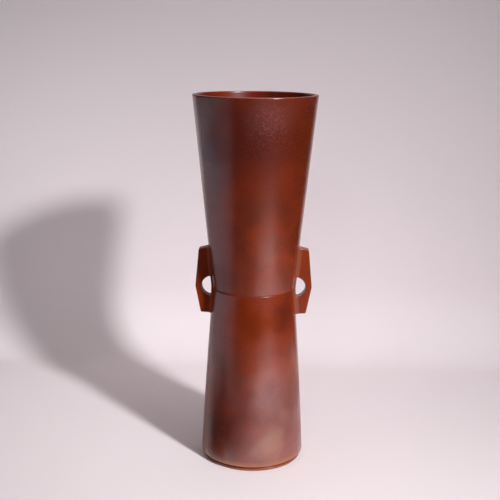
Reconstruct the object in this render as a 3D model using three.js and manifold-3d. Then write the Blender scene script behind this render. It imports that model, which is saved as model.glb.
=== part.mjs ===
// Two-part cast bronze flower vase: a flared upper body seated on a tapering
// lower body, with a pierced ear on either side of the seam.
// Millimetres, +Z up. The origin is on the axis, on the surface the foot rests on.
// The ears lie along X, and -Y is the front.
import * as THREE from 'three';
import { mergeVertices } from 'three/addons/utils/BufferGeometryUtils.js';
import Module from 'manifold-3d';

// Overall form
const HEIGHT = 295;
const SEAM_HEIGHT = 142.6;
const MOUTH_RADIUS = 48.7;
const SEAM_RADIUS = 32.8;
const BASE_RADIUS = 41.8;
// How far the lower wall bows out, halfway up, past a straight taper
const BASE_BULGE = 0.5;

// Cast walls, lip and the softened edges
const WALL = 3.6;
const LIP_WIDTH = 4.2;
const LIP_ROUND = 0.9;
const SEAM_ROUND = 0.7;
const BASE_ROUND = 1.0;

// Lap joint at the seam: a spigot on the lower body in a socket of the upper one
const SPIGOT_HEIGHT = 9;

// Bottom plate, let into a rebate of the lower body
const PLATE_THICKNESS = 4;
const PLATE_LAP = 1;

// Foot ring under the plate and the lower rim
const FOOT_HEIGHT = 3.7;
const FOOT_RADIUS = 40;
const FOOT_WIDTH = 6;
const FOOT_ROUND = 0.5;
const GROOVE_HEIGHT = 1.7;
const GROOVE_DEPTH = 1.1;

// Solder fillets that make the two inner joints watertight
const SOLDER_LEG = 2.4;

// Ears: heights are taken from the seam, depths from the wall behind
const EAR_THICKNESS = 8.6;
const EAR_RISE = 30.7;
const EAR_DROP = 21.4;
const EAR_END_DEPTH = 7.9;
const EAR_TOP_FALL = 2.3;
const EAR_BOTTOM_LIFT = 0.5;
const KNEE_PROJECTION = 13.9;
const KNEE_RISE = 0.4;
const EYE_RADIUS = 8.3;
const EYE_RISE = 0.4;
const EYE_STANDOFF = 0.6;
// How far the thin web behind the eye stands out from the wall
const EYE_WEB = 0.9;
const EAR_EDGE = 0.6;
const EAR_CORNER = 1.2;
const ROOT_FILLET = 4;

// Dowels that hold each ear to both bodies, in blind holes
const PIN_RADIUS = 2;
const PIN_IN_WALL = 2;
const PIN_IN_EAR = 5.5;
const PIN_CHAMFER = 0.4;

// Clearances: a slip fit takes a film of solder, an ear seat a slightly thicker one
const SLIP_FIT = 0.2;
const SEAT_GAP = 0.3;

// Facets of the round forms
const TURN_STEPS = 72;
const PIN_STEPS = 16;
const EDGE_STEPS = 2;
const WALL_STEPS = 6;
const EYE_STEPS = 36;
const FILLET_STEPS = 5;
const MERGE_TOLERANCE = 1e-4;

// Sizes that follow from the ones above
const neckRadius = SEAM_RADIUS - WALL;
const spigotRadius = neckRadius + (WALL - SLIP_FIT) / 2;
const socketRadius = spigotRadius + SLIP_FIT;
const spigotTop = SEAM_HEIGHT + SPIGOT_HEIGHT;
const socketTop = spigotTop + SLIP_FIT;
const floorHeight = FOOT_HEIGHT + PLATE_THICKNESS;
const rebateRadius = lowerInner(floorHeight) + PLATE_LAP;
const seamRound = Math.min(SEAM_ROUND, (SEAM_RADIUS - socketRadius) / 2);
const upperLegMiddle = SEAM_HEIGHT + (EYE_RISE + EYE_RADIUS + EAR_RISE) / 2;
const lowerLegMiddle = SEAM_HEIGHT + (EYE_RISE - EYE_RADIUS - EAR_DROP) / 2;

const wasm = await Module();
wasm.setup();

// A closed geometry as a solid that can be joined and cut
function solidOf(geometry) {
  const bare = geometry.index ? geometry.toNonIndexed() : geometry;
  bare.deleteAttribute('normal');
  bare.deleteAttribute('uv');
  const merged = mergeVertices(bare, MERGE_TOLERANCE);
  const corners = merged.index.array;
  const triangles = [];
  for (let i = 0; i < corners.length; i += 3) {
    const [a, b, c] = corners.slice(i, i + 3);
    const collapsed = a === b || b === c || c === a;
    if (!collapsed) triangles.push(a, b, c);
  }
  const vertProperties = merged.attributes.position.array;
  const triVerts = Uint32Array.from(triangles);
  return new wasm.Manifold(new wasm.Mesh({ numProp: 3, vertProperties, triVerts }));
}

// A solid back as a geometry
function geometryOf(solid) {
  const mesh = solid.getMesh();
  const geometry = new THREE.BufferGeometry();
  geometry.setAttribute('position', new THREE.BufferAttribute(Float32Array.from(mesh.vertProperties), 3));
  geometry.setIndex(Array.from(mesh.triVerts));
  geometry.computeVertexNormals();
  return geometry;
}

// A profile in (radius, height), drawn with the metal on its left, turned about Z
function turned(profile, turnSteps = TURN_STEPS) {
  const geometry = new THREE.LatheGeometry(profile.getPoints(1), turnSteps);
  return solidOf(geometry.rotateX(Math.PI / 2));
}

// A parabolic stretch of an outline from where its last line ends, in straight steps
function bendTo(path, controlX, controlY, endX, endY, steps = EDGE_STEPS) {
  const start = path.currentPoint.clone();
  const control = new THREE.Vector2(controlX, controlY);
  const end = new THREE.Vector2(endX, endY);
  const curve = new THREE.QuadraticBezierCurve(start, control, end);
  for (const point of curve.getPoints(steps).slice(1)) path.lineTo(point.x, point.y);
}

// An outline in (x, z) drawn out along Y, centred on Y = 0, with softened edges
function plate(outline, thickness, edge) {
  const geometry = new THREE.ExtrudeGeometry(outline, {
    depth: thickness - 2 * edge,
    bevelEnabled: edge > 0,
    bevelThickness: edge,
    bevelSize: edge,
    bevelOffset: -edge,
    bevelSegments: EDGE_STEPS,
    curveSegments: EYE_STEPS / 2,
  });
  geometry.rotateX(Math.PI / 2);
  return solidOf(geometry.translate(0, thickness / 2 - edge, 0));
}

// Outer wall of the upper body: a straight flare from the seam to the mouth
function upperOuter(z) {
  const share = (z - SEAM_HEIGHT) / (HEIGHT - SEAM_HEIGHT);
  return SEAM_RADIUS + (MOUTH_RADIUS - SEAM_RADIUS) * share;
}

// Its inner wall, which thickens a little towards the lip
function upperInner(z) {
  const share = (z - SEAM_HEIGHT) / (HEIGHT - SEAM_HEIGHT);
  return neckRadius + (MOUTH_RADIUS - LIP_WIDTH - neckRadius) * share;
}

// Outer wall of the lower body: a taper with a slight parabolic swelling
function lowerOuter(z) {
  const share = (z - FOOT_HEIGHT) / (SEAM_HEIGHT - FOOT_HEIGHT);
  const taper = BASE_RADIUS + (SEAM_RADIUS - BASE_RADIUS) * share;
  return taper + 4 * BASE_BULGE * share * (1 - share);
}

// Its inner wall, parallel to the outer one and meeting the neck at the seam
function lowerInner(z) {
  return lowerOuter(z) - WALL;
}

// The parabola between two heights, as a curve whose control point lies on both end tangents
function wallCurve(path, radiusAt, fromZ, toZ) {
  const middle = (fromZ + toZ) / 2;
  const control = 2 * radiusAt(middle) - (radiusAt(fromZ) + radiusAt(toZ)) / 2;
  bendTo(path, control, middle, radiusAt(toZ), toZ, WALL_STEPS);
}

function upperBody() {
  const profile = new THREE.Path();
  profile.moveTo(socketRadius, SEAM_HEIGHT);
  profile.lineTo(SEAM_RADIUS - seamRound, SEAM_HEIGHT);
  const seamEdge = SEAM_HEIGHT + seamRound;
  bendTo(profile, SEAM_RADIUS, SEAM_HEIGHT, upperOuter(seamEdge), seamEdge);
  const lipEdge = HEIGHT - LIP_ROUND;
  profile.lineTo(upperOuter(lipEdge), lipEdge);
  bendTo(profile, MOUTH_RADIUS, HEIGHT, MOUTH_RADIUS - LIP_ROUND, HEIGHT);
  const bore = MOUTH_RADIUS - LIP_WIDTH;
  profile.lineTo(bore + LIP_ROUND, HEIGHT);
  bendTo(profile, bore, HEIGHT, upperInner(lipEdge), lipEdge);
  profile.lineTo(upperInner(socketTop), socketTop);
  profile.lineTo(socketRadius, socketTop);
  profile.lineTo(socketRadius, SEAM_HEIGHT);
  return turned(profile);
}

function lowerBody() {
  const profile = new THREE.Path();
  profile.moveTo(rebateRadius, FOOT_HEIGHT);
  profile.lineTo(BASE_RADIUS - BASE_ROUND, FOOT_HEIGHT);
  const baseEdge = FOOT_HEIGHT + BASE_ROUND;
  bendTo(profile, BASE_RADIUS, FOOT_HEIGHT, lowerOuter(baseEdge), baseEdge);
  const shoulderEdge = SEAM_HEIGHT - seamRound;
  wallCurve(profile, lowerOuter, baseEdge, shoulderEdge);
  bendTo(profile, SEAM_RADIUS, SEAM_HEIGHT, SEAM_RADIUS - seamRound, SEAM_HEIGHT);
  profile.lineTo(spigotRadius, SEAM_HEIGHT);
  profile.lineTo(spigotRadius, spigotTop);
  profile.lineTo(neckRadius, spigotTop);
  profile.lineTo(neckRadius, SEAM_HEIGHT);
  wallCurve(profile, lowerInner, SEAM_HEIGHT, floorHeight);
  profile.lineTo(rebateRadius, floorHeight);
  profile.lineTo(rebateRadius, FOOT_HEIGHT);
  return turned(profile);
}

function basePlate() {
  const radius = rebateRadius - SLIP_FIT;
  const profile = new THREE.Path();
  profile.moveTo(0, FOOT_HEIGHT);
  profile.lineTo(radius, FOOT_HEIGHT);
  profile.lineTo(radius, floorHeight);
  profile.lineTo(0, floorHeight);
  return turned(profile);
}

// The groove above the ring shows as a shadow line under the lower rim
function footRing() {
  const bore = FOOT_RADIUS - FOOT_WIDTH;
  const grooveFloor = FOOT_HEIGHT - GROOVE_HEIGHT;
  const profile = new THREE.Path();
  profile.moveTo(bore + FOOT_ROUND, 0);
  profile.lineTo(FOOT_RADIUS - FOOT_ROUND, 0);
  bendTo(profile, FOOT_RADIUS, 0, FOOT_RADIUS, FOOT_ROUND);
  profile.lineTo(FOOT_RADIUS, grooveFloor);
  profile.lineTo(FOOT_RADIUS - GROOVE_DEPTH, grooveFloor);
  profile.lineTo(FOOT_RADIUS - GROOVE_DEPTH, FOOT_HEIGHT);
  profile.lineTo(bore, FOOT_HEIGHT);
  profile.lineTo(bore, FOOT_ROUND);
  bendTo(profile, bore, 0, bore + FOOT_ROUND, 0);
  return turned(profile);
}

// A concave fillet of solder in the corner between a level ledge and the wall above it
function solderRing(ledgeHeight, wallAt, width) {
  const top = ledgeHeight + SOLDER_LEG;
  const corner = wallAt(ledgeHeight) - SLIP_FIT;
  const tip = wallAt(top) - SLIP_FIT;
  const profile = new THREE.Path();
  profile.moveTo(corner - width, ledgeHeight);
  profile.lineTo(corner, ledgeHeight);
  profile.lineTo(tip, top);
  bendTo(profile, corner - width / 4, ledgeHeight + SOLDER_LEG / 4, corner - width, ledgeHeight);
  return turned(profile);
}

// The space that the two bodies take up, grown by a margin
function bodyEnvelope(margin) {
  const foot = FOOT_HEIGHT;
  const profile = new THREE.Path();
  profile.moveTo(0, foot);
  profile.lineTo(lowerOuter(foot) + margin, foot);
  wallCurve(profile, (z) => lowerOuter(z) + margin, foot, SEAM_HEIGHT);
  profile.lineTo(MOUTH_RADIUS + margin, HEIGHT);
  profile.lineTo(0, HEIGHT);
  return turned(profile);
}

// Side view of an ear: two ends that run back into the wall, with a blunt knee between them
function earOutline() {
  const topZ = SEAM_HEIGHT + EAR_RISE;
  const bottomZ = SEAM_HEIGHT - EAR_DROP;
  const topX = upperOuter(topZ) + EAR_END_DEPTH;
  const bottomX = lowerOuter(bottomZ) + EAR_END_DEPTH;
  const kneeX = SEAM_RADIUS + KNEE_PROJECTION;
  const kneeZ = SEAM_HEIGHT + KNEE_RISE;
  const backX = SEAM_RADIUS - EYE_RADIUS - EAR_THICKNESS / 2;
  const topSlope = EAR_TOP_FALL / EAR_END_DEPTH;
  const bottomSlope = EAR_BOTTOM_LIFT / EAR_END_DEPTH;

  const bottom = new THREE.Vector2(bottomX, bottomZ);
  const knee = new THREE.Vector2(kneeX, kneeZ);
  const top = new THREE.Vector2(topX, topZ);
  const bottomBack = new THREE.Vector2(backX, bottomZ - bottomSlope * (bottomX - backX));
  const topBack = new THREE.Vector2(backX, topZ + topSlope * (topX - backX));

  const outline = new THREE.Shape();
  outline.moveTo(bottomBack.x, bottomBack.y);
  softCorner(outline, bottomBack, bottom, knee);
  softCorner(outline, bottom, knee, top);
  softCorner(outline, knee, top, topBack);
  outline.lineTo(topBack.x, topBack.y);
  outline.closePath();
  return outline;
}

// A corner of an outline, cut back by the corner size and rounded
function softCorner(outline, before, corner, after) {
  const start = before.clone().sub(corner).setLength(EAR_CORNER).add(corner);
  const end = after.clone().sub(corner).setLength(EAR_CORNER).add(corner);
  outline.lineTo(start.x, start.y);
  bendTo(outline, corner.x, corner.y, end.x, end.y);
}

// Plan section of an ear's root: parallel faces that flare into the round wall by hollow fillets
function rootSection(wallRadius) {
  const half = EAR_THICKNESS / 2;
  const centreY = half + ROOT_FILLET;
  const centreX = Math.sqrt((wallRadius + ROOT_FILLET) ** 2 - centreY ** 2);
  const towardsAxis = Math.atan2(centreY, centreX);
  const backX = wallRadius / 2;
  const touchY = centreY - ROOT_FILLET * Math.sin(towardsAxis);
  const section = new THREE.Shape();
  section.moveTo(backX, -touchY);
  section.absarc(centreX, -centreY, ROOT_FILLET, Math.PI - towardsAxis, Math.PI / 2, true);
  section.lineTo(centreX + ROOT_FILLET / 2, -half);
  section.lineTo(centreX + ROOT_FILLET / 2, half);
  section.absarc(centreX, centreY, ROOT_FILLET, -Math.PI / 2, towardsAxis - Math.PI, true);
  section.lineTo(backX, touchY);
  section.closePath();
  return section;
}

// The root section carried up or down the wall, from the seam to past the end of the ear
function rootFlare(radiusAt, endZ) {
  const seam = new THREE.Vector3(radiusAt(SEAM_HEIGHT), 0, SEAM_HEIGHT);
  const end = new THREE.Vector3(radiusAt(endZ), 0, endZ);
  const geometry = new THREE.ExtrudeGeometry(rootSection(radiusAt(endZ)), {
    depth: Math.abs(endZ - SEAM_HEIGHT),
    bevelEnabled: false,
    curveSegments: FILLET_STEPS,
  });
  const lean = (end.x - seam.x) / (endZ - SEAM_HEIGHT);
  const lowest = Math.min(endZ, SEAM_HEIGHT);
  const shear = new THREE.Matrix4().makeShear(0, 0, 0, 0, lean, 0);
  geometry.applyMatrix4(shear);
  return solidOf(geometry.translate(lean * (lowest - endZ), 0, lowest));
}

// Dowel between a wall and an ear, along X, at the height of the origin
function dowel(wallX, clearance) {
  const length = PIN_IN_WALL + SEAT_GAP + PIN_IN_EAR + 2 * clearance;
  const radius = PIN_RADIUS + clearance;
  const profile = new THREE.Path();
  profile.moveTo(0, 0);
  profile.lineTo(radius - PIN_CHAMFER, 0);
  profile.lineTo(radius, PIN_CHAMFER);
  profile.lineTo(radius, length - PIN_CHAMFER);
  profile.lineTo(radius - PIN_CHAMFER, length);
  profile.lineTo(0, length);
  const start = wallX - PIN_IN_WALL - clearance;
  return turned(profile, PIN_STEPS).rotate([0, 90, 0]).translate([start, 0, 0]);
}

// The two dowels of an ear, or the holes for them, each halfway up its leg
function dowels(clearance) {
  return {
    upper: dowel(upperOuter(upperLegMiddle), clearance).translate([0, 0, upperLegMiddle]),
    lower: dowel(lowerOuter(lowerLegMiddle), clearance).translate([0, 0, lowerLegMiddle]),
  };
}

// The opening of an ear: a round hole that stops short of the wall, so that a thin web stays behind it
function eye(width) {
  const circle = new THREE.Shape();
  circle.absarc(SEAM_RADIUS + EYE_STANDOFF, SEAM_HEIGHT + EYE_RISE, EYE_RADIUS, 0, 2 * Math.PI);
  return plate(circle, width, 0).subtract(bodyEnvelope(EYE_WEB));
}

// The ear on +X: a plate with flared roots, pierced, cut to the walls and drilled for its dowels
function ear() {
  const outline = earOutline();
  const holes = dowels(SLIP_FIT);
  const flareTop = SEAM_HEIGHT + EAR_RISE + EAR_TOP_FALL;
  const flareBottom = SEAM_HEIGHT - EAR_DROP - EAR_BOTTOM_LIFT;
  const rootWidth = EAR_THICKNESS + 4 * ROOT_FILLET;
  const flares = rootFlare(upperOuter, flareTop).add(rootFlare(lowerOuter, flareBottom));
  return flares.intersect(plate(outline, rootWidth, 0))
    .add(plate(outline, EAR_THICKNESS, EAR_EDGE))
    .subtract(bodyEnvelope(SEAT_GAP))
    .subtract(eye(rootWidth))
    .subtract(holes.upper)
    .subtract(holes.lower);
}

const vase = new THREE.Group();

const patinatedBronze = { color: '#6b2e1c', roughness: 0.42, metalness: 0.85 };
const bareBronze = { color: '#8a5a35', roughness: 0.5, metalness: 0.9 };
const solder = { color: '#8d7f6c', roughness: 0.55, metalness: 0.9 };

// Adds one named piece, turned about Z by a half turn where it belongs to the ear on -X
function addPiece(name, solid, finish, halfTurn = false) {
  const mesh = new THREE.Mesh(geometryOf(solid), new THREE.MeshStandardMaterial(finish));
  mesh.name = name;
  mesh.rotation.z = halfTurn ? Math.PI : 0;
  vase.add(mesh);
}

const drill = dowels(SLIP_FIT);
const bothSides = (solid) => solid.add(solid.rotate([0, 0, 180]));
addPiece('upper_body', upperBody().subtract(bothSides(drill.upper)), patinatedBronze);
addPiece('lower_body', lowerBody().subtract(bothSides(drill.lower)), patinatedBronze);
addPiece('base_plate', basePlate(), patinatedBronze);
addPiece('foot_ring', footRing(), patinatedBronze);

const seamLedge = upperInner(spigotTop) - SLIP_FIT - neckRadius;
addPiece('seam_solder_ring', solderRing(spigotTop, upperInner, seamLedge), solder);
addPiece('base_solder_ring', solderRing(floorHeight, lowerInner, SOLDER_LEG), solder);

const pins = dowels(0);
for (const [side, halfTurn] of [['right', false], ['left', true]]) {
  addPiece(`${side}_ear`, ear(), patinatedBronze, halfTurn);
  addPiece(`${side}_ear_upper_pin`, pins.upper, bareBronze, halfTurn);
  addPiece(`${side}_ear_lower_pin`, pins.lower, bareBronze, halfTurn);
}

export default vase;
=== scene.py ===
"""Cast bronze flower vase with a clouded red-brown patina, on a pale paper sweep.

Every piece of the vase is a surface worked out with numpy: profiles turned about Z,
and ears whose section is carried round the eye. Metres, +Z up, the CAD model's frame.
"""
import math

import bpy
import numpy as np
from mathutils import Matrix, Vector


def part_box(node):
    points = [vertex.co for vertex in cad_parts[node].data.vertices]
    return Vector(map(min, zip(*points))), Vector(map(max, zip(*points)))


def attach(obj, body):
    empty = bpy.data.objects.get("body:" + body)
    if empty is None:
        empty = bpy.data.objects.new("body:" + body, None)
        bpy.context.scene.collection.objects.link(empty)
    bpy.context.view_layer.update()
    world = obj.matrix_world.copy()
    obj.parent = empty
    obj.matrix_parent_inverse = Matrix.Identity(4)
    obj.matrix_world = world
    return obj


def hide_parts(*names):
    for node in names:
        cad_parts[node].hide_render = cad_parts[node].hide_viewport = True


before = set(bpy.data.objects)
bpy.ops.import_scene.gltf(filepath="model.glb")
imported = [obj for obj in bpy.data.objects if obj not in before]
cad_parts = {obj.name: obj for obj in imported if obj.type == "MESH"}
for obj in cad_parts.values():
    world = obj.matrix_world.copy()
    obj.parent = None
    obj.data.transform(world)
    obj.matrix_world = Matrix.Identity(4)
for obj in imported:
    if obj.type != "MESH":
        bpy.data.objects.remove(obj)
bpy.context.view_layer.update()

MM = 0.001

# Sizes read from the frame
SEAM_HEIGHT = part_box("upper_body")[0].z
LIP_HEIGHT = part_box("upper_body")[1].z
MOUTH_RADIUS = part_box("upper_body")[1].x
SPIGOT_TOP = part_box("lower_body")[1].z
FOOT_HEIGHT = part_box("lower_body")[0].z
PLATE_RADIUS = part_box("base_plate")[1].x
FLOOR_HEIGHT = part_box("base_plate")[1].z
FOOT_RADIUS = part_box("foot_ring")[1].x
SEAM_SOLDER_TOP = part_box("seam_solder_ring")[1].z
BASE_SOLDER_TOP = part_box("base_solder_ring")[1].z

# Sizes of the solids that their boxes don't give
SEAM_RADIUS = 32.8 * MM
BASE_RADIUS = 41.8 * MM
BASE_BULGE = 0.5 * MM
WALL = 3.6 * MM
LIP_WIDTH = 4.2 * MM
FOOT_WIDTH = 6.0 * MM
GROOVE_HEIGHT = 1.7 * MM
GROOVE_DEPTH = 1.1 * MM
SLIP_FIT = 0.2 * MM
NECK_RADIUS = SEAM_RADIUS - WALL
SPIGOT_RADIUS = NECK_RADIUS + (WALL - SLIP_FIT) / 2
EAR_THICKNESS = 8.6 * MM
EAR_TOP = SEAM_HEIGHT + 30.7 * MM
EAR_BOTTOM = SEAM_HEIGHT - 21.4 * MM
EAR_END_DEPTH = 7.9 * MM
EAR_TOP_FALL = 2.3 * MM
EAR_BOTTOM_LIFT = 0.5 * MM
KNEE = (SEAM_RADIUS + 13.9 * MM, SEAM_HEIGHT + 0.4 * MM)
EYE = (SEAM_RADIUS + 0.6 * MM, SEAM_HEIGHT + 0.4 * MM)
EYE_RADIUS = 8.3 * MM
EYE_WEB = 0.9 * MM
ROOT_FILLET = 4.0 * MM

# Softened edges
LIP_ROUND = 0.9 * MM
SEAM_ROUND = 0.7 * MM
BASE_ROUND = 1.0 * MM
SMALL_ROUND = 0.3 * MM
EAR_EDGE = 0.5 * MM
EAR_CORNER = 1.0 * MM
EAR_SINK = 1.8 * MM

# Finish: how dull or worn the skin is, from 0 to 1
MOUTH_DULL = 0.55
LIP_DULL = 0.75
BASE_WEAR = 0.8
BASE_WEAR_REACH = 2.2 * MM
FOOT_DULL = 0.6
FOOT_WEAR = 0.25
# Each ear: its share of orange, how dull its faces and its root are, and how much painted highlight its root
# has
# The right root's grey-tan is a painted highlight where the key light catches the fillet, and the left ear's
# smaller share of orange is partly painted shade
RIGHT_EAR_FINISH_AND_PAINTED_LIGHT = (0.6, 0.4, 0.0, 0.6)
LEFT_EAR_FINISH_AND_PAINTED_LIGHT = (0.5, 0.8, 0.8, 0.0)

# Fineness of the surfaces
TURN_STEPS = 288
ROUND_STEPS = 6
WALL_STEP = 3.0 * MM
EAR_STEP = 0.5 * MM
FACE_STEPS = 16
EDGE_STEPS = 8


def upper_wall(z):
    """Outer radius of the upper body: a straight flare from the seam to the mouth."""
    share = (z - SEAM_HEIGHT) / (LIP_HEIGHT - SEAM_HEIGHT)
    return SEAM_RADIUS + (MOUTH_RADIUS - SEAM_RADIUS) * share


def upper_bore(z):
    """Inner radius of the upper body, with a wall that thickens towards the lip."""
    share = (z - SEAM_HEIGHT) / (LIP_HEIGHT - SEAM_HEIGHT)
    return NECK_RADIUS + (MOUTH_RADIUS - LIP_WIDTH - NECK_RADIUS) * share


def swelling(z):
    """How far the lower walls bow out past a straight taper: a parabola, nought at both ends."""
    share = np.clip((z - FOOT_HEIGHT) / (SEAM_HEIGHT - FOOT_HEIGHT), 0, 1)
    return 4 * BASE_BULGE * share * (1 - share)


def lower_wall(z):
    """Outer radius of the lower body: a straight taper plus its swelling."""
    share = (z - FOOT_HEIGHT) / (SEAM_HEIGHT - FOOT_HEIGHT)
    return BASE_RADIUS + (SEAM_RADIUS - BASE_RADIUS) * share + swelling(z)


def lower_bore(z):
    """Inner radius of the lower body, parallel to its outer wall."""
    return lower_wall(z) - WALL


def soft_loop(corners, rounds):
    """Closed outline through corners, each rounded by the parabola that is tangent to its two sides.

    Next to each round lies one more point on either side, so that the shading of the flats stays flat.
    """
    corner = np.array(corners, float)
    size = np.array(rounds, float)[:, None]
    before = np.roll(corner, 1, axis=0) - corner
    after = np.roll(corner, -1, axis=0) - corner
    before /= np.linalg.norm(before, axis=1, keepdims=True)
    after /= np.linalg.norm(after, axis=1, keepdims=True)
    start, end = corner + size * before, corner + size * after
    t = np.linspace(0, 1, ROUND_STEPS + 1)[None, :, None]
    arc = (1 - t) ** 2 * start[:, None] + 2 * t * (1 - t) * corner[:, None] + t ** 2 * end[:, None]
    lead = (start + 0.5 * size * before)[:, None]
    trail = (end + 0.5 * size * after)[:, None]
    return np.concatenate([lead, arc, trail], axis=1).reshape(-1, 2)


def refine(loop, longest):
    """The same closed outline with each long side cut into equal steps no longer than asked."""
    side = np.roll(loop, -1, axis=0) - loop
    count = np.maximum(1, np.ceil(np.linalg.norm(side, axis=1) / longest).astype(int))
    owner = np.repeat(np.arange(len(loop)), count)
    place = np.arange(len(owner)) - np.repeat(np.cumsum(count) - count, count)
    return loop[owner] + side[owner] * (place / count[owner])[:, None]


def mesh_object(name, points, faces, material, replaced):
    """Puts points and faces into a smooth mesh that stands for a CAD node and rides on the vase."""
    mesh = bpy.data.meshes.new(name)
    mesh.from_pydata(points.tolist(), [], faces)
    mesh.polygons.foreach_set("use_smooth", np.ones(len(mesh.polygons), bool))
    mesh.materials.append(material)
    mesh.update()
    piece = bpy.data.objects.new(name, mesh)
    bpy.context.scene.collection.objects.link(piece)
    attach(piece, "root")
    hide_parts(replaced)
    return piece


def grid_faces(rows, columns, close_rows=True, close_columns=True):
    """Four-cornered faces of a grid of points, joined end to end where it closes."""
    i, j = np.meshgrid(
        np.arange(rows if close_rows else rows - 1),
        np.arange(columns if close_columns else columns - 1),
        indexing="ij",
    )
    next_i, next_j = (i + 1) % rows, (j + 1) % columns
    corners = [i * columns + j, next_i * columns + j, next_i * columns + next_j, i * columns + next_j]
    return np.stack(corners, -1).reshape(-1, 4)


def turned_points(profile):
    """Points of a (radius, height) profile at equal turns about Z, turn by turn."""
    angle = np.linspace(0, 2 * np.pi, TURN_STEPS, endpoint=False)[:, None]
    radius, height = profile[None, :, 0], profile[None, :, 1]
    level = np.broadcast_to(height, (TURN_STEPS, len(profile)))
    return np.stack([radius * np.cos(angle), radius * np.sin(angle), level], -1).reshape(-1, 3)


def turned_ring(name, loop, material, replaced):
    """A closed (radius, height) outline, drawn with the metal on its left, carried round Z."""
    faces = grid_faces(TURN_STEPS, len(loop)).tolist()
    return mesh_object(name, turned_points(loop), faces, material, replaced)


def mark(piece, name, values):
    """Gives a piece's points a value for its material: one run of values, repeated to the last point."""
    attribute = piece.data.attributes.new(name, "FLOAT", "POINT")
    attribute.data.foreach_set("value", np.resize(values, len(attribute.data)).astype(np.float32))


def soft_step(x, start, end):
    """0 before start, 1 past end, and the smooth cubic 3t^2 - 2t^3 between them."""
    t = np.clip((x - start) / (end - start), 0, 1)
    return t ** 2 * (3 - 2 * t)


def near(loop, corner, reach):
    """How near a profile's points are to a corner: a bell curve of their distance."""
    return np.exp(-np.sum((loop - np.array(corner)) ** 2, axis=1) / reach ** 2)


def upper_body_surface(material):
    """Flared shell: seat and socket below, straight walls, and a lip with softened edges."""
    socket_radius, socket_top = SPIGOT_RADIUS + SLIP_FIT, SPIGOT_TOP + SLIP_FIT
    corners = [
        (socket_radius, SEAM_HEIGHT),
        (SEAM_RADIUS, SEAM_HEIGHT),
        (MOUTH_RADIUS, LIP_HEIGHT),
        (MOUTH_RADIUS - LIP_WIDTH, LIP_HEIGHT),
        (upper_bore(socket_top), socket_top),
        (socket_radius, socket_top),
    ]
    rounds = [SMALL_ROUND, SEAM_ROUND, LIP_ROUND, LIP_ROUND, SMALL_ROUND, SMALL_ROUND]
    loop = refine(soft_loop(corners, rounds), WALL_STEP)
    piece = turned_ring("upper_body_surface", loop, material, "upper_body")
    inside = loop[:, 0] < upper_wall(loop[:, 1]) - LIP_WIDTH / 2
    worn = near(loop, corners[1], SEAM_ROUND) + near(loop, corners[2], LIP_ROUND)
    mark(piece, "inside", inside)
    mark(piece, "dull", np.where(inside, MOUTH_DULL, LIP_DULL * worn))
    return piece


def lower_body_surface(material):
    """Base shell: rebate below, swelling walls, a softened shoulder and the spigot above it."""
    rebate_radius = PLATE_RADIUS + SLIP_FIT
    corners = [
        (rebate_radius, FOOT_HEIGHT),
        (BASE_RADIUS, FOOT_HEIGHT),
        (SEAM_RADIUS, SEAM_HEIGHT),
        (SPIGOT_RADIUS, SEAM_HEIGHT),
        (SPIGOT_RADIUS, SPIGOT_TOP),
        (NECK_RADIUS, SPIGOT_TOP),
        (NECK_RADIUS, SEAM_HEIGHT),
        (lower_bore(FLOOR_HEIGHT), FLOOR_HEIGHT),
        (rebate_radius, FLOOR_HEIGHT),
    ]
    rounds = [SMALL_ROUND, BASE_ROUND, SEAM_ROUND] + [SMALL_ROUND] * 6
    loop = refine(soft_loop(corners, rounds), WALL_STEP)
    loop[:, 0] += swelling(loop[:, 1])
    piece = turned_ring("lower_body_surface", loop, material, "lower_body")
    mark(piece, "inside", loop[:, 0] < lower_wall(loop[:, 1]) - WALL / 2)
    mark(piece, "wear", BASE_WEAR * near(loop, corners[1], BASE_WEAR_REACH))
    mark(piece, "dull", near(loop, corners[2], SEAM_ROUND))
    return piece


def foot_ring_surface(material):
    """Low ring with a groove above it, which shows as a shadow line under the base."""
    bore, neck = FOOT_RADIUS - FOOT_WIDTH, FOOT_RADIUS - GROOVE_DEPTH
    ledge = FOOT_HEIGHT - GROOVE_HEIGHT
    corners = [
        (bore, 0), (FOOT_RADIUS, 0), (FOOT_RADIUS, ledge),
        (neck, ledge), (neck, FOOT_HEIGHT), (bore, FOOT_HEIGHT),
    ]
    loop = refine(soft_loop(corners, [SMALL_ROUND] * len(corners)), WALL_STEP)
    piece = turned_ring("foot_ring_surface", loop, material, "foot_ring")
    mark(piece, "dull", [FOOT_DULL])
    mark(piece, "wear", [FOOT_WEAR])
    return piece


def base_plate_surface(material):
    """Flat disc with softened edges: its rim turned about Z, and a fan of faces to each pole."""
    corners = [
        (0, FOOT_HEIGHT), (PLATE_RADIUS, FOOT_HEIGHT),
        (PLATE_RADIUS, FLOOR_HEIGHT), (0, FLOOR_HEIGHT),
    ]
    loop = soft_loop(corners, [SMALL_ROUND] * len(corners))
    per_corner = len(loop) // len(corners)
    rim = loop[per_corner:3 * per_corner]
    points = turned_points(rim)
    poles = np.array([(0, 0, FOOT_HEIGHT), (0, 0, FLOOR_HEIGHT)])
    first = np.arange(TURN_STEPS) * len(rim)
    following = np.roll(first, -1)
    last = len(rim) - 1
    under = np.stack([np.full(TURN_STEPS, len(points)), following, first], -1)
    over = np.stack([np.full(TURN_STEPS, len(points) + 1), first + last, following + last], -1)
    edge = grid_faces(TURN_STEPS, len(rim), close_columns=False)
    faces = edge.tolist() + under.tolist() + over.tolist()
    points = np.concatenate([points, poles])
    return mesh_object("base_plate_surface", points, faces, material, "base_plate")


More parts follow.
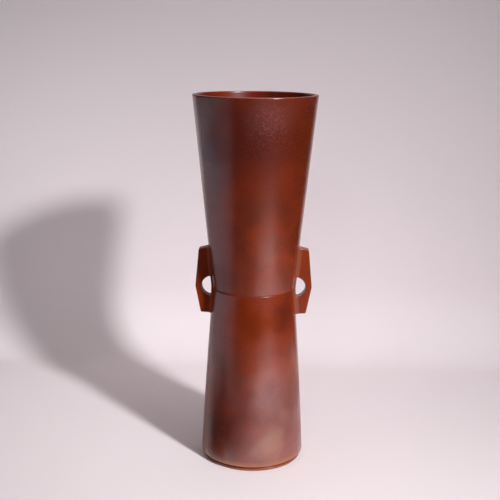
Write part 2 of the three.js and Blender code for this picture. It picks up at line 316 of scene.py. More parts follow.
def solder_surface(name, replaced, ledge, top, wall, width, material):
    """Hollow fillet of solder between a level ledge and the wall above it."""
    corner, tip = wall(ledge) - SLIP_FIT, wall(top) - SLIP_FIT
    t = np.linspace(0, 1, ROUND_STEPS + 1)[:, None]
    start, end = np.array([[tip, top]]), np.array([[corner - width, ledge]])
    middle = np.array([[corner - width / 4, ledge + (top - ledge) / 4]])
    hollow = (1 - t) ** 2 * start + 2 * t * (1 - t) * middle + t ** 2 * end
    loop = np.concatenate([[[corner, ledge]], hollow])
    return turned_ring(name, loop, material, replaced)


def half_width(x, z):
    """Half the ear's width at a point of its side view: parallel faces, then a round hollow fillet.

    The fillet's circle touches the ear's face and the round wall behind it.
    """
    half = EAR_THICKNESS / 2
    radius = np.where(z > SEAM_HEIGHT, upper_wall(z), lower_wall(z))
    centre_y = half + ROOT_FILLET
    centre_x = np.sqrt((radius + ROOT_FILLET) ** 2 - centre_y ** 2)
    touch_x = centre_x * radius / (radius + ROOT_FILLET)
    depth = np.clip(centre_x - np.maximum(x, touch_x), 0, ROOT_FILLET)
    return centre_y - np.sqrt(ROOT_FILLET ** 2 - depth ** 2)


def ear_outlines():
    """Outer and inner edge of an ear in (x, z), point for point, once round the eye.

    The outer edge follows the two ends and the knee, and lies sunk in the wall behind.
    The inner edge has the same bearing from the middle of the eye. Its distance there is a soft minimum
    of the distances to the eye's circle and to the two walls, so that its corners come out rounded.
    """
    sharpness = 16
    top_root, bottom_root = EAR_TOP + EAR_TOP_FALL, EAR_BOTTOM - EAR_BOTTOM_LIFT
    corners = [
        (SEAM_RADIUS - EAR_SINK, SEAM_HEIGHT),
        (lower_wall(bottom_root) - EAR_SINK, bottom_root),
        (lower_wall(EAR_BOTTOM) + EAR_END_DEPTH, EAR_BOTTOM),
        KNEE,
        (upper_wall(EAR_TOP) + EAR_END_DEPTH, EAR_TOP),
        (upper_wall(top_root) - EAR_SINK, top_root),
    ]
    outer = refine(soft_loop(corners, [EAR_CORNER] * len(corners)), EAR_STEP)
    middle = np.array([EYE[0] + EYE_RADIUS / 3, EYE[1]])
    bearing = outer - middle
    bearing /= np.linalg.norm(bearing, axis=1, keepdims=True)
    offset = np.array(EYE) - middle
    along = bearing @ offset
    nearness = [1 / (along + np.sqrt(along ** 2 - offset @ offset + EYE_RADIUS ** 2))]
    waist = np.array([SEAM_RADIUS + EYE_WEB, SEAM_HEIGHT])
    for wall, end in ((upper_wall, EAR_TOP), (lower_wall, EAR_BOTTOM)):
        into_wall = np.array([-1, (wall(end) - SEAM_RADIUS) / (end - SEAM_HEIGHT)])
        nearness.append(np.maximum(bearing @ into_wall, 0) / (into_wall @ (waist - middle)))
    reach = np.sum(np.array(nearness) ** sharpness, axis=0) ** (-1 / sharpness)
    return outer, middle + reach[:, None] * bearing


def outward(loop):
    """Unit normals of a closed outline in (x, z) that runs with its inside on the left."""
    along = np.roll(loop, -1, axis=0) - np.roll(loop, 1, axis=0)
    along /= np.linalg.norm(along, axis=1, keepdims=True)
    return np.stack([along[:, 1], -along[:, 0]], -1)


def ear_surface(name, replaced, side, finish, material):
    """A rounded section carried round the eye: over a face, the outer edge, the other face and the eye.

    side is 1 for the ear on +X and -1 for the one on -X, which is the first given a half turn about Z.
    The finish and the painted highlight change from the faces to the root with the square root of how far
    the fillet has swelled.
    """
    outer, inner = ear_outlines()
    out_normal, in_normal = outward(outer), -outward(inner)
    outer_edge, inner_edge = outer - EAR_EDGE * out_normal, inner - EAR_EDGE * in_normal

    face = (1 - np.cos(np.pi * np.linspace(0, 1, FACE_STEPS + 1))) / 2
    arc = np.linspace(0, np.pi / 2, ROUND_STEPS + 1)[1:]
    flank = np.linspace(1, -1, EDGE_STEPS + 1)[1:-1]
    rise = np.concatenate([np.sin(arc), np.ones(len(flank)), np.sin(arc)[::-1]])
    flat = np.concatenate([np.ones(len(arc)), flank, -np.ones(len(arc))])
    soft = np.concatenate([np.cos(arc), np.zeros(len(flank)), -np.cos(arc)[::-1]])
    level, none = np.ones(len(face)), np.zeros(len(face))
    share = np.concatenate([face, np.ones(len(rise)), face[::-1], np.zeros(len(rise))])[None, :, None]
    over = np.concatenate([none, rise, none, rise])[None, :, None]
    y_flat = np.concatenate([level, flat, -level, -flat])
    y_soft = np.concatenate([level, soft, -level, -soft])

    normal = np.where(share > 0.5, out_normal[:, None], in_normal[:, None])
    on_face = (1 - share) * inner_edge[:, None] + share * outer_edge[:, None]
    place = on_face + EAR_EDGE * over * normal
    half = half_width(on_face[..., 0], on_face[..., 1])
    across = (half - EAR_EDGE) * y_flat + EAR_EDGE * y_soft
    points = np.stack([side * place[..., 0], side * across, place[..., 1]], -1)
    faces = grid_faces(*points.shape[:2]).tolist()
    piece = mesh_object(name, points.reshape(-1, 3), faces, material, replaced)
    orange, face_dull, root_dull, root_painted_highlight = finish
    root = np.sqrt(np.clip((half - EAR_THICKNESS / 2) / ROOT_FILLET, 0, 1))
    mark(piece, "ear", [orange])
    mark(piece, "dull", (face_dull + (root_dull - face_dull) * root).ravel())
    # Painted highlight: grey-tan on the fillet where the key light catches it
    mark(piece, "root", (root_painted_highlight * root).ravel())
    return piece


def srgb(hex_code):
    """Linear colour of an sRGB hex value such as #6b2e1c."""
    channel = np.array([int(hex_code[i:i + 2], 16) for i in (1, 3, 5)]) / 255
    linear = np.where(channel <= 0.04045, channel / 12.92, ((channel + 0.055) / 1.055) ** 2.4)
    return (*linear.tolist(), 1.0)


def per_metre(size_mm):
    """Scale of a texture on Object coordinates whose features are this many millimetres apart."""
    return 1 / (size_mm * MM)


def add(tree, kind, settings=None, inputs=None, stops=()):
    """Adds a node with its settings, sets or links its inputs, and gives a ramp its stops."""
    node = tree.nodes.new(kind)
    for key, value in (settings or {}).items():
        setattr(node, key, value)
    for key, value in (inputs or {}).items():
        if isinstance(value, bpy.types.NodeSocket):
            tree.links.new(value, node.inputs[key])
        else:
            node.inputs[key].default_value = value
    for _ in stops[2:]:
        node.color_ramp.elements.new(0.5)
    for i, (position, colour) in enumerate(stops):
        node.color_ramp.elements[i].position = position
        node.color_ramp.elements[i].color = srgb(colour)
    return node


def new_material(name):
    """An empty node material, its tree and its output node."""
    material = bpy.data.materials.new(name)
    material.use_nodes = True
    tree = material.node_tree
    tree.nodes.clear()
    output = add(tree, "ShaderNodeOutputMaterial")
    return material, tree, output


# Colour of the patina up the vase, from the foot to the lip
SKIN = [
    (0.0, "#8c3b1c"), (0.1, "#84301c"), (0.25, "#963a1c"), (0.42, "#90320d"), (0.49, "#92330f"),
    (0.56, "#9e3c1a"), (0.64, "#9a3815"), (0.76, "#8e3213"), (0.9, "#7c2a16"), (1.0, "#84321c"),
]

# Its clouds on the outer walls, with patches of painted shade, highlight and reflection among them: centre,
# reach, strength and colour
CLOUDS_AND_PAINTED_LIGHT = [
    ((0.0226, -0.0250, 0.124), 13 * MM, 0.6, "#581e16"),
    ((0.0040, -0.0455, 0.262), 20 * MM, 0.5, "#5a1c16"),
    # Painted highlight: pale pink below the lip, where the key light's broad sheen falls
    ((0.0110, -0.0460, 0.284), 13 * MM, 0.5, "#8e4c4a"),
    ((-0.0210, -0.0390, 0.262), 24 * MM, 0.5, "#6a2a1c"),
    ((-0.0345, -0.0285, 0.256), 10 * MM, 0.35, "#5c3450"),
    ((-0.0330, -0.0265, 0.231), 10 * MM, 0.35, "#5c3450"),
    ((0.0080, -0.0370, 0.213), 14 * MM, 0.4, "#70301c"),
    ((0.0226, -0.0251, 0.156), 11 * MM, 0.4, "#702c18"),
    ((0.0310, -0.0205, 0.190), 13 * MM, 0.55, "#70280f"),
    ((-0.0180, -0.0300, 0.165), 22 * MM, 0.35, "#5e2418"),
    ((-0.0225, -0.0330, 0.070), 17 * MM, 0.55, "#6a2a1a"),
    ((0.0260, -0.0300, 0.062), 12 * MM, 0.4, "#6a2a1c"),
    ((-0.0010, -0.0345, 0.121), 12 * MM, 0.55, "#6a2408"),
    ((-0.0155, -0.0320, 0.188), 12 * MM, 0.4, "#5e2418"),
    ((0.0430, -0.0150, 0.262), 24 * MM, 0.5, "#84300c"),
    # Painted dark reflection: the next two darken the lower front and left, where the metal mirrors shade
    # beside the base
    ((0.0000, -0.0395, 0.050), 18 * MM, 0.4, "#74302c"),
    ((-0.0270, -0.0315, 0.029), 17 * MM, 0.55, "#4a2016"),
    ((-0.0150, -0.0340, 0.092), 14 * MM, 0.35, "#6a2a16"),
    ((0.0251, -0.0325, 0.222), 11 * MM, 0.4, "#7a2a10"),
    ((0.0128, -0.0325, 0.122), 8 * MM, 0.2, "#b04a18"),
    # Painted dark reflection: darker lower front, where the metal mirrors shade beside the base
    ((-0.0030, -0.0415, 0.027), 13 * MM, 0.4, "#6c342a"),
    # Painted shade: darkens the foot ring's left side, which lies in the vase's own shadow
    ((-0.0300, -0.0265, -0.012), 15 * MM, 0.8, "#30180f"),
    # Painted shadow: the body's shadow across the left ear's face
    ((-0.0370, -0.0043, 0.150), 13 * MM, 0.6, "#3c1e16"),
    ((0.0310, -0.0260, 0.045), 22 * MM, 0.3, "#683024"),
    ((0.0270, -0.0280, 0.203), 10 * MM, 0.45, "#6a2812"),
    ((-0.0065, -0.0392, 0.207), 10 * MM, 0.4, "#6c2c1c"),
    ((0.0330, -0.0305, 0.255), 15 * MM, 0.35, "#6a2410"),
    # Painted highlight: the next three are pale pink where the key light's broad sheen runs down the front
    # right
    ((0.0150, -0.0395, 0.020), 12 * MM, 0.45, "#b4806a"),
    ((0.0140, -0.0370, 0.070), 14 * MM, 0.15, "#b88a8a"),
    ((0.0180, -0.0327, 0.186), 11 * MM, 0.3, "#7e4236"),
]
# And inside the mouth, one of them a painted highlight
MOUTH_CLOUDS_AND_PAINTED_HIGHLIGHT = [
    # Painted highlight: the key light's reflection on the inner wall behind the mouth
    ((-0.0130, 0.0425, 0.289), 8 * MM, 0.5, "#7a4450"),
    ((-0.0020, 0.0443, 0.288), 9 * MM, 0.6, "#8e1a1a"),
    ((-0.0320, 0.0310, 0.289), 14 * MM, 0.5, "#9a3a10"),
    ((0.0150, 0.0418, 0.289), 7 * MM, 0.6, "#3c100a"),
]
# Where pale specks are painted as glints of light off its pitted skin: centre and reach
GLINT_ZONE = (0.0120, -0.0460, 0.275), 15 * MM

# Shares of a cloud's reach: where it is still full, where it is gone, and how far its rim runs in and out
CLOUD_CORE = 0.3
CLOUD_RIM = 1.7
CLOUD_RAGGED = 1.2

# Places where the wax is rubbed thin: centre, reach and the share of the gloss that is gone
THIN_WAX = [
    ((-0.0275, -0.0365, 0.268), 16 * MM, 0.4),
    ((-0.0252, -0.0229, 0.155), 9 * MM, 0.25),
    ((-0.0010, -0.0350, 0.122), 15 * MM, 0.7),
    ((0.0130, -0.0320, 0.126), 13 * MM, 0.25),
    ((0.0270, -0.0220, 0.118), 15 * MM, 0.5),
    ((0.0340, -0.0220, 0.066), 18 * MM, 0.4),
    ((0.0350, -0.0230, 0.028), 18 * MM, 0.3),
    ((-0.0040, -0.0415, 0.034), 15 * MM, 0.45),
    ((0.0100, -0.0325, 0.157), 11 * MM, 0.3),
]

# How far the patina's bands of colour wander up and down
BAND_WANDER = 60 * MM

# Sizes of the patterns in millimetres: on the patina, then on the turned bronze and the solder
DRIFT_MM = 38
MOTTLE_MM = 15
RIM_MM = 20
GLINT_FLECK_MM = 1.6
GRAIN_MM = 1.1
TONE_MM = 1.5
RING_MM = 0.4
LUMP_MM = 3


def bloom(tree, place, centre, reach, ragged):
    """A soft round cloud: 1 in its core, a half at its reach and 0 past its rim.

    A noise is added to the distance from its centre, so that the rim runs in and out.
    """
    away = add(tree, "ShaderNodeVectorMath", {"operation": "DISTANCE"}, {
        0: place, 1: centre}).outputs["Value"]
    edge = add(tree, "ShaderNodeMath", {"operation": "MULTIPLY_ADD"}, {
        0: ragged, 1: reach, 2: away}).outputs[0]
    soft = add(tree, "ShaderNodeMapRange", {"interpolation_type": "SMOOTHSTEP"}, {
        "Value": edge, "From Min": CLOUD_CORE * reach, "From Max": CLOUD_RIM * reach,
        "To Min": 1.0, "To Max": 0.0})
    return soft.outputs["Result"]


def clouded(tree, place, ragged, clouds):
    """Layers of colour for a list of clouds: how strongly each one covers, and its colour."""
    layers = []
    for centre, reach, strength, colour in clouds:
        cover = add(tree, "ShaderNodeMath", {"operation": "MULTIPLY"}, {
            0: bloom(tree, place, centre, reach, ragged), 1: strength}).outputs[0]
        layers.append((cover, colour))
    return layers


def patinated_bronze():
    """Cast bronze with a heat-grown copper oxide skin, rubbed with wax.

    The skin is a glassy red film of high index over brown: chestnut with a whitish sheen where it mirrors
    something pale. It grew unevenly, in orange and plum clouds some centimetres wide, and the wax is
    uneven too. Some of its clouds and specks, and the right ear's root colour, are painted shade, highlight,
    glints and reflection.
    """
    material, tree, output = new_material("heat_patinated_bronze_waxed_and_painted_light")
    place = add(tree, "ShaderNodeTexCoord").outputs["Object"]
    drift = add(tree, "ShaderNodeTexNoise", inputs={
        "Vector": place, "Scale": per_metre(DRIFT_MM), "Detail": 3.0, "Roughness": 0.5,
        "Distortion": 0.5}).outputs["Fac"]
    mottle = add(tree, "ShaderNodeTexNoise", inputs={
        "Vector": place, "Scale": per_metre(MOTTLE_MM), "Detail": 2.0, "Roughness": 0.5}).outputs["Fac"]
    flecks = add(tree, "ShaderNodeTexNoise", inputs={
        "Vector": place, "Scale": per_metre(GLINT_FLECK_MM), "Detail": 3.0, "Roughness": 0.6}).outputs["Fac"]
    # The skin's own grain is about a tenth of a millimetre. It is drawn ten times as coarse, to show
    grain = add(tree, "ShaderNodeTexNoise", inputs={
        "Vector": place, "Scale": per_metre(GRAIN_MM), "Detail": 2.0, "Roughness": 0.6}).outputs["Fac"]
    rim = add(tree, "ShaderNodeTexNoise", inputs={
        "Vector": place, "Scale": per_metre(RIM_MM), "Detail": 1.0, "Roughness": 0.4}).outputs["Fac"]
    ragged = add(tree, "ShaderNodeMapRange", {"clamp": False}, {
        "Value": rim, "To Min": -CLOUD_RAGGED, "To Max": CLOUD_RAGGED}).outputs["Result"]

    height = add(tree, "ShaderNodeSeparateXYZ", inputs={0: place}).outputs["Z"]
    wander = add(tree, "ShaderNodeMath", {"operation": "MULTIPLY_ADD"}, {
        0: drift, 1: BAND_WANDER, 2: height}).outputs[0]
    level = add(tree, "ShaderNodeMapRange", inputs={
        "Value": wander, "From Min": BAND_WANDER / 2,
        "From Max": LIP_HEIGHT + BAND_WANDER / 2}).outputs["Result"]
    skin = add(tree, "ShaderNodeValToRGB", inputs={"Fac": level}, stops=SKIN).outputs["Color"]
    plum = add(tree, "ShaderNodeMapRange", {"interpolation_type": "SMOOTHSTEP"}, {
        "Value": mottle, "From Min": 0.45, "From Max": 0.75, "To Max": 0.3}).outputs["Result"]
    layers = [(plum, "#5c2220")] + clouded(tree, place, ragged, CLOUDS_AND_PAINTED_LIGHT)
    # Painted glints: pale specks in one zone below the lip, where light sparkles off the pitted skin
    glint_zone = bloom(tree, place, *GLINT_ZONE, 0.0)
    glint_fleck = add(tree, "ShaderNodeMapRange", {"interpolation_type": "SMOOTHSTEP"}, {
        "Value": flecks, "From Min": 0.46, "From Max": 0.7, "To Max": 0.35}).outputs["Result"]
    glint_fleck = add(tree, "ShaderNodeMath", {"operation": "MULTIPLY"}, {0: glint_fleck, 1: glint_zone}).outputs[0]
    layers.append((glint_fleck, "#b06c64"))
    # The root colour is a painted highlight on the right ear's fillet
    marked = (("ear", "#9c390e"), ("inside", "#80240a"), ("wear", "#b4662f"), ("root", "#a4846e"))
    for name, colour in marked:
        layers.append((add(tree, "ShaderNodeAttribute", {"attribute_name": name}).outputs["Fac"], colour))
    layers += clouded(tree, place, ragged, MOUTH_CLOUDS_AND_PAINTED_HIGHLIGHT)
    for cover, colour in layers:
        skin = add(tree, "ShaderNodeMix", {"data_type": "RGBA"}, {
            "Factor": cover, "A": skin, "B": srgb(colour)}).outputs["Result"]
    shade = add(tree, "ShaderNodeValToRGB", inputs={"Fac": grain}, stops=[
        (0.3, "#e8e8e8"), (0.7, "#ffffff")]).outputs["Color"]
    skin = add(tree, "ShaderNodeMix", {"data_type": "RGBA", "blend_type": "MULTIPLY"}, {
        "Factor": 1.0, "A": skin, "B": shade}).outputs["Result"]

    dull = add(tree, "ShaderNodeAttribute", {"attribute_name": "dull"}).outputs["Fac"]
    gloss = add(tree, "ShaderNodeMapRange", inputs={
        "Value": dull, "To Min": 1.0, "To Max": 0.1}).outputs["Result"]
    for centre, reach, share in THIN_WAX:
        kept = add(tree, "ShaderNodeMath", {"operation": "MULTIPLY_ADD"}, {
            0: bloom(tree, place, centre, reach, ragged), 1: -share, 2: 1.0}).outputs[0]
        gloss = add(tree, "ShaderNodeMath", {"operation": "MULTIPLY"}, {0: gloss, 1: kept}).outputs[0]
    satin = add(tree, "ShaderNodeMapRange", inputs={
        "Value": mottle, "From Min": 0.3, "From Max": 0.7, "To Min": 0.45, "To Max": 0.58}).outputs["Result"]
    pores = add(tree, "ShaderNodeBump", inputs={
        "Height": grain, "Strength": 0.08, "Distance": 0.04 * MM}).outputs["Normal"]
    shader = add(tree, "ShaderNodeBsdfPrincipled", inputs={
        "Base Color": skin, "Metallic": 0.25, "Roughness": satin, "Specular IOR Level": 0.0,
        "Normal": pores, "Coat Weight": gloss, "Coat Roughness": 0.25, "Coat IOR": 2.2})
    tree.links.new(shader.outputs["BSDF"], output.inputs["Surface"])
    return material


def bare_bronze():
    """Dowel bronze turned bright and left without patina: golden, satin, ringed by the tool along X."""
    material, tree, output = new_material("turned_bare_bronze")
    place = add(tree, "ShaderNodeTexCoord").outputs["Object"]
    tone = add(tree, "ShaderNodeTexNoise", inputs={
        "Vector": place, "Scale": per_metre(TONE_MM), "Detail": 2.0}).outputs["Fac"]
    colour = add(tree, "ShaderNodeValToRGB", inputs={"Fac": tone}, stops=[
        (0.3, "#8f6238"), (0.7, "#b98a55")]).outputs["Color"]
    # A wave of scale 1 has pi / 10 from band to band. The tool's feed of 0.1 mm is drawn coarser, to show
    rings = add(tree, "ShaderNodeTexWave", {"wave_type": "BANDS", "bands_direction": "X"}, {
        "Vector": place, "Scale": math.pi / 10 * per_metre(RING_MM), "Distortion": 0.5}).outputs["Fac"]
    satin = add(tree, "ShaderNodeMapRange", inputs={
        "Value": tone, "From Min": 0.3, "From Max": 0.7, "To Min": 0.32, "To Max": 0.44}).outputs["Result"]
    grooves = add(tree, "ShaderNodeBump", inputs={
        "Height": rings, "Strength": 0.3, "Distance": 0.01 * MM}).outputs["Normal"]
    shader = add(tree, "ShaderNodeBsdfPrincipled", inputs={
        "Base Color": colour, "Metallic": 1.0, "Roughness": satin, "Normal": grooves})
    tree.links.new(shader.outputs["BSDF"], output.inputs["Surface"])
    return material


def flowed_solder():
    """Solder left as it flowed, dull grey-brown with a slightly lumpy skin."""
    material, tree, output = new_material("flowed_solder")
    place = add(tree, "ShaderNodeTexCoord").outputs["Object"]
    lumps = add(tree, "ShaderNodeTexNoise", inputs={
        "Vector": place, "Scale": per_metre(LUMP_MM), "Detail": 3.0}).outputs["Fac"]
    colour = add(tree, "ShaderNodeValToRGB", inputs={"Fac": lumps}, stops=[
        (0.3, "#5d4a3a"), (0.7, "#8b7a66")]).outputs["Color"]
    dull = add(tree, "ShaderNodeMapRange", inputs={
        "Value": lumps, "From Min": 0.3, "From Max": 0.7, "To Min": 0.44, "To Max": 0.58}).outputs["Result"]
    bump = add(tree, "ShaderNodeBump", inputs={
        "Height": lumps, "Strength": 0.4, "Distance": 0.3 * MM}).outputs["Normal"]
    shader = add(tree, "ShaderNodeBsdfPrincipled", inputs={
        "Base Color": colour, "Metallic": 0.9, "Roughness": dull, "Normal": bump})
    tree.links.new(shader.outputs["BSDF"], output.inputs["Surface"])
    return material


# The studio: a paper sweep whose front edge runs slantwise, dark felt that paints shade into the metal's
# reflections, and what the lamps face
PAPER_FRONT_LEFT = -0.54
PAPER_FRONT_RIGHT = -0.77
PAPER_FADE = 0.45
FADE_LENGTH = 0.075
FADE_STEPS = 45
BEND_STEPS = 24
PAPER_BACK = 0.26
PAPER_BEND = 0.07
PAPER_TOP = 0.6
PAPER_LEFT_FRONT = -0.2
PAPER_LEFT_BACK = -0.29
PAPER_RIGHT = 0.34
PAPER_STEPS = 40
FRONT_TURN = (-0.06, 0.16)

CLOTH_RADIUS = 1.7
CLOTH_TOP = 1.6
CLOTH_FOOT = -0.6
# The flags and the fan: felt that paints shade into the metal's reflections
FLAG_ACROSS = (-0.225, 0.01)
FLAG_EDGE = 0.055
FLAG_FRONT = -0.055
FLAG_TOP = 0.085
FLAG_FULL = 0.0255
FLAG_HEM = 0.014
HEM_COVER = 0.4
FAN_TURN = (24, 90)
FAN_FULL = 35
FAN_EASES = (48, 60)
FAN_EASE = 0.35
FAN_DIES = 55
FAN_START = 0.03
FAN_FAR = 0.15
FAN_REACH = 0.34
FAN_LIFT = 0.0005
FLAG_STEPS = 40
SIDE_FLAG_ACROSS = (0.17, 0.7)
SIDE_FLAG_BACK = 0.2
VASE_AIM = (0, -0.04, 0.05)
FRONT_AIM = (0, -0.12, 0.013)
WALL_AIM = (-0.22, 0.26, 0.15)

CAMERA_DISTANCE = 688.2 * MM
CAMERA_HEIGHT = 333.3 * MM
CAMERA_LENS_MM = 63.68
CAMERA_SENSOR_MM = 36
CAMERA_TILT = math.radians(13.182)
CAMERA_PAN = math.radians(0.26)
CAMERA_ROLL = math.radians(0.551)
VASE_TURN = math.radians(1.3)


def paper_sweep():
    """Floor, a quarter round and a wall in one sheet: a (y, z) profile drawn out along X.

    The left edge slants. In front the paper thins out with an exponential fall towards its edge,
    which is near the vase on the left and swings out on the right by a smooth step. Where it thins, the
    metal
    mirrors the dark felt below: a painted fall of light on the floor in front.
    """
    fade = np.linspace(0, 1, FADE_STEPS + 1)
    bend = np.linspace(-np.pi / 2, 0, BEND_STEPS + 1)
    y = np.concatenate([
        PAPER_FRONT_LEFT + PAPER_FADE * fade, PAPER_BACK - PAPER_BEND * (1 - np.cos(bend)), [PAPER_BACK]])
    z = np.concatenate([np.zeros(len(fade)), PAPER_BEND * (1 + np.sin(bend)), [PAPER_TOP]])
    left = np.interp(y, [PAPER_FRONT_LEFT, PAPER_BACK], [PAPER_LEFT_FRONT, PAPER_LEFT_BACK])
    share = np.linspace(0, 1, PAPER_STEPS + 1)[:, None]
    x = left + (PAPER_RIGHT - left) * share
    points = np.stack([x, np.broadcast_to(y, x.shape), np.broadcast_to(z, x.shape)], -1)
    points[:, :len(fade), 1] += (PAPER_FRONT_RIGHT - PAPER_FRONT_LEFT) * soft_step(x[:, :1], *FRONT_TURN)
    mesh = bpy.data.meshes.new("paper_sweep")
    mesh.from_pydata(points.reshape(-1, 3).tolist(), [], grid_faces(*x.shape, False, False).tolist())
    mesh.polygons.foreach_set("use_smooth", np.ones(len(mesh.polygons), bool))
    sweep = bpy.data.objects.new("paper_sweep", mesh)
    # Painted fall of light: the paper fades to clear towards its front edge, so the metal mirrors the dark
    # felt below
    dying = np.exp((fade - 1) * PAPER_FADE / FADE_LENGTH)
    mark(sweep, "cover", np.concatenate([dying, np.ones(len(y) - len(fade))]))

    material, tree, output = new_material("matt_paper")
    cover = add(tree, "ShaderNodeAttribute", {"attribute_name": "cover"}).outputs["Fac"]
    back = add(tree, "ShaderNodeNewGeometry").outputs["Backfacing"]
    gone = add(tree, "ShaderNodeMath", {"operation": "SUBTRACT"}, {0: 1.0, 1: cover}).outputs[0]
    gone = add(tree, "ShaderNodeMath", {"operation": "MAXIMUM"}, {0: gone, 1: back}).outputs[0]
    paper = add(tree, "ShaderNodeBsdfDiffuse", inputs={"Color": srgb("#f4eaee")})
    clear = add(tree, "ShaderNodeBsdfTransparent")
    sheet = add(tree, "ShaderNodeMixShader", inputs={
        "Fac": gone, 1: paper.outputs["BSDF"], 2: clear.outputs["BSDF"]})
    tree.links.new(sheet.outputs["Shader"], output.inputs["Surface"])
    mesh.materials.append(material)
    bpy.context.scene.collection.objects.link(sweep)


def drawn_out(profile, across):
    """Points of a profile at each of the given places along X."""
    offset = np.multiply.outer(across, (1, 0, 0))
    return (profile + offset[:, None]).reshape(-1, 3)


def painted_shade_cloth():
    """Dark felt that only the metal mirrors: a tub under and round the set, two upright flags and a fan.

    The tub is a turned profile. The flag at the left is an upright sheet that thins out towards its edges,
    and the one at the right an upright sheet in front of the paper's wall. The fan lies on the paper left of
    the vase: its ribs start along the foot, each points as far again from the front as its start is turned,
    and it thins out at both ends of the ribs and towards its sides. The fan and the left flag paint shade
    into the metal's reflections beside the base, the right flag paints the wall's reflection darker, and the
    tub darkens what the metal mirrors below and round the set.
    The camera looks past them all, and the lamps shine through them.
    """
    tub = np.array([(CLOTH_RADIUS, CLOTH_TOP), (CLOTH_RADIUS, CLOTH_FOOT), (FOOT_RADIUS, CLOTH_FOOT)])

    height = np.linspace(FLAG_TOP, 0, FLAG_STEPS + 1)
    sheet = np.stack([np.zeros(len(height)), np.full(len(height), FLAG_FRONT), height], -1)
    hem = HEM_COVER + (1 - HEM_COVER) * soft_step(height, 0, FLAG_HEM)
    upward = soft_step(height, FLAG_TOP, FLAG_FULL) * hem
    across = np.linspace(*FLAG_ACROSS, FLAG_STEPS + 1)
    sideways = soft_step(across, FLAG_ACROSS[0], FLAG_ACROSS[0] + FLAG_EDGE)
    sideways *= soft_step(across, FLAG_ACROSS[1], FLAG_ACROSS[1] - FLAG_EDGE)

    degrees = np.linspace(*FAN_TURN, FLAG_STEPS + 1)
    turn = np.radians(degrees)[:, None]
    reach = np.linspace(0, FAN_REACH, FLAG_STEPS + 1)
    fan = np.stack([
        -BASE_RADIUS * np.sin(turn) - reach * np.sin(2 * turn),
        -BASE_RADIUS * np.cos(turn) - reach * np.cos(2 * turn),
        np.full((len(turn), len(reach)), FAN_LIFT)], -1)
    ribs = soft_step(degrees, FAN_TURN[0], FAN_FULL) * (1 - soft_step(degrees, FAN_DIES, FAN_TURN[1]))
    ribs *= 1 - FAN_EASE * soft_step(degrees, *FAN_EASES)
    outward_cover = soft_step(reach, 0, FAN_START) * (1 - soft_step(reach, FAN_FAR, FAN_REACH))

    edge = np.array([(0, SIDE_FLAG_BACK, PAPER_TOP), (0, SIDE_FLAG_BACK, CLOTH_FOOT)])
    pieces = [
        (turned_points(tub), grid_faces(TURN_STEPS, len(tub), close_columns=False), [1.0]),
        (drawn_out(sheet, across), grid_faces(len(across), len(sheet), False, False),
         np.outer(sideways, upward).ravel()),
        (fan.reshape(-1, 3), grid_faces(*fan.shape[:2], False, False),
         np.outer(ribs, outward_cover).ravel()),
        (drawn_out(edge, SIDE_FLAG_ACROSS), grid_faces(len(SIDE_FLAG_ACROSS), len(edge), False, False),
         [1.0]),
    ]
    material, tree, output = new_material("painted_shade_felt")
    cover = add(tree, "ShaderNodeAttribute", {"attribute_name": "cover"}).outputs["Fac"]
    felt = add(tree, "ShaderNodeBsdfDiffuse", inputs={"Color": srgb("#201c1a")})
    clear = add(tree, "ShaderNodeBsdfTransparent")
    sheer = add(tree, "ShaderNodeMixShader", inputs={
        "Fac": cover, 1: clear.outputs["BSDF"], 2: felt.outputs["BSDF"]})
    tree.links.new(sheer.outputs["Shader"], output.inputs["Surface"])
    for points, faces, density in pieces:
        mesh = bpy.data.meshes.new("painted_shade_cloth")
        mesh.from_pydata(points.tolist(), [], faces.tolist())
        mesh.materials.append(material)
        cloth = bpy.data.objects.new("painted_shade_cloth", mesh)
        mark(cloth, "cover", density)
        cloth.visible_camera = False
        cloth.visible_shadow = False
        cloth.visible_diffuse = False
        bpy.context.scene.collection.objects.link(cloth)


def lamp(name, bearing, height, distance, size, power, colour, spread, aim=VASE_AIM):
    """An oval lamp that faces a point, at a bearing right of the front and a height above level."""
    data = bpy.data.lights.new(name, "AREA")
    data.shape = "ELLIPSE"
    data.size, data.size_y = size
    data.energy = power
    data.color = srgb(colour)[:3]
    data.spread = math.radians(spread)
    turn, rise = math.radians(bearing), math.radians(height)
    towards = np.array([math.sin(turn) * math.cos(rise), -math.cos(turn) * math.cos(rise), math.sin(rise)])
    flat = np.array([math.cos(turn), math.sin(turn), 0])
    axes = np.stack([flat, np.cross(towards, flat), towards], -1)
    lamp_object = bpy.data.objects.new(name, data)
    lamp_object.location = np.array(aim) + distance * towards
    lamp_object.rotation_euler = Matrix(axes.tolist()).to_euler()
    lamp_object.visible_camera = False
    bpy.context.scene.collection.objects.link(lamp_object)


def world_light():
    """Dim even light from the room, and a pale background where camera or gloss look past the set.

    The background is for rays of the camera and of mirroring or clear surfaces alone.
    """
    world = bpy.data.worlds.new("room")
    bpy.context.scene.world = world
    world.use_nodes = True
    tree = world.node_tree
    tree.nodes.clear()
    path = add(tree, "ShaderNodeLightPath")
    seen = path.outputs["Is Camera Ray"]
    for kind in ("Is Glossy Ray", "Is Transmission Ray"):
        seen = add(tree, "ShaderNodeMath", {"operation": "MAXIMUM"}, {
            0: seen, 1: path.outputs[kind]}).outputs[0]
    room = add(tree, "ShaderNodeBackground", inputs={"Color": srgb("#e8dfe2"), "Strength": 0.09})
    pale = add(tree, "ShaderNodeBackground", inputs={"Color": srgb("#d9cfd4"), "Strength": 1.0})
    both = add(tree, "ShaderNodeMixShader", inputs={
        "Fac": seen, 1: room.outputs["Background"], 2: pale.outputs["Background"]})
    output = add(tree, "ShaderNodeOutputWorld")
    tree.links.new(both.outputs["Shader"], output.inputs["Surface"])


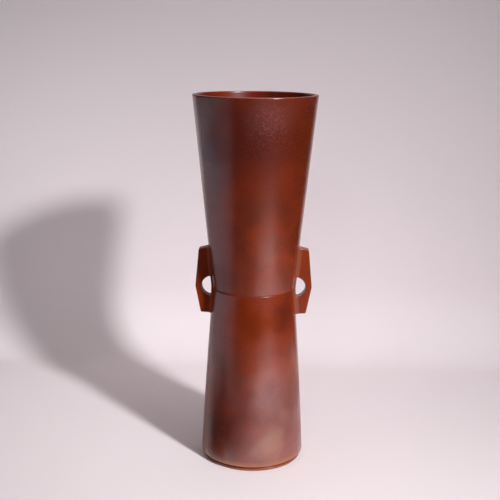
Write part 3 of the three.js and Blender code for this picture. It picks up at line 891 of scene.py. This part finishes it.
def camera():
    """Camera at the photograph's place, solved from the ellipses of the mouth, seam and foot."""
    forward = np.array([
        -math.sin(CAMERA_PAN) * math.cos(CAMERA_TILT),
        math.cos(CAMERA_PAN) * math.cos(CAMERA_TILT),
        -math.sin(CAMERA_TILT)])
    level = np.array([math.cos(CAMERA_PAN), math.sin(CAMERA_PAN), 0])
    upright = np.cross(level, forward)
    right = math.cos(CAMERA_ROLL) * level + math.sin(CAMERA_ROLL) * upright
    up = math.cos(CAMERA_ROLL) * upright - math.sin(CAMERA_ROLL) * level
    pose = Matrix(np.stack([right, up, -forward], -1).tolist()).to_4x4()
    pose.translation = (0, -CAMERA_DISTANCE, CAMERA_HEIGHT)
    data = bpy.data.cameras.new("camera")
    data.lens = CAMERA_LENS_MM
    data.sensor_width = CAMERA_SENSOR_MM
    eye = bpy.data.objects.new("camera", data)
    eye.matrix_world = Matrix.Rotation(VASE_TURN, 4, "Z") @ pose
    bpy.context.scene.collection.objects.link(eye)
    bpy.context.scene.camera = eye


patina = patinated_bronze()
solder = flowed_solder()
dowel_metal = bare_bronze()

upper_body_surface(patina)
lower_body_surface(patina)
foot_ring_surface(patina)
base_plate_surface(patina)
ear_surface("right_ear_surface", "right_ear", 1, RIGHT_EAR_FINISH_AND_PAINTED_LIGHT, patina)
ear_surface("left_ear_surface", "left_ear", -1, LEFT_EAR_FINISH_AND_PAINTED_LIGHT, patina)
solder_surface("seam_solder_surface", "seam_solder_ring", SPIGOT_TOP, SEAM_SOLDER_TOP, upper_bore,
               upper_bore(SPIGOT_TOP) - SLIP_FIT - NECK_RADIUS, solder)
solder_surface("base_solder_surface", "base_solder_ring", FLOOR_HEIGHT, BASE_SOLDER_TOP, lower_bore,
               BASE_SOLDER_TOP - FLOOR_HEIGHT, solder)
for pin in ("right_ear_upper_pin", "right_ear_lower_pin", "left_ear_upper_pin", "left_ear_lower_pin"):
    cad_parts[pin].data.materials.clear()
    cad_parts[pin].data.materials.append(dowel_metal)

camera()
paper_sweep()
painted_shade_cloth()
lamp("key_lamp", bearing=44.2, height=35, distance=1.72, size=(0.18, 0.18),
     power=2.56, colour="#ffffff", spread=50, aim=FRONT_AIM)
lamp("fill_lamp", bearing=-10, height=27, distance=4.0, size=(0.5, 0.5),
     power=0.13, colour="#ffffff", spread=24)
lamp("top_softbox", bearing=0, height=90, distance=1.2, size=(0.5, 0.5),
     power=0.38, colour="#fffaf2", spread=80)
lamp("window", bearing=-102, height=-5, distance=0.6, size=(2.2, 0.43),
     power=0.46, colour="#f4eafa", spread=130)
lamp("wall_lamp", bearing=-30, height=20, distance=1.0, size=(0.3, 0.3),
     power=0.065, colour="#ffffff", spread=32, aim=WALL_AIM)
world_light()

bpy.context.scene.view_settings.view_transform = "Standard"
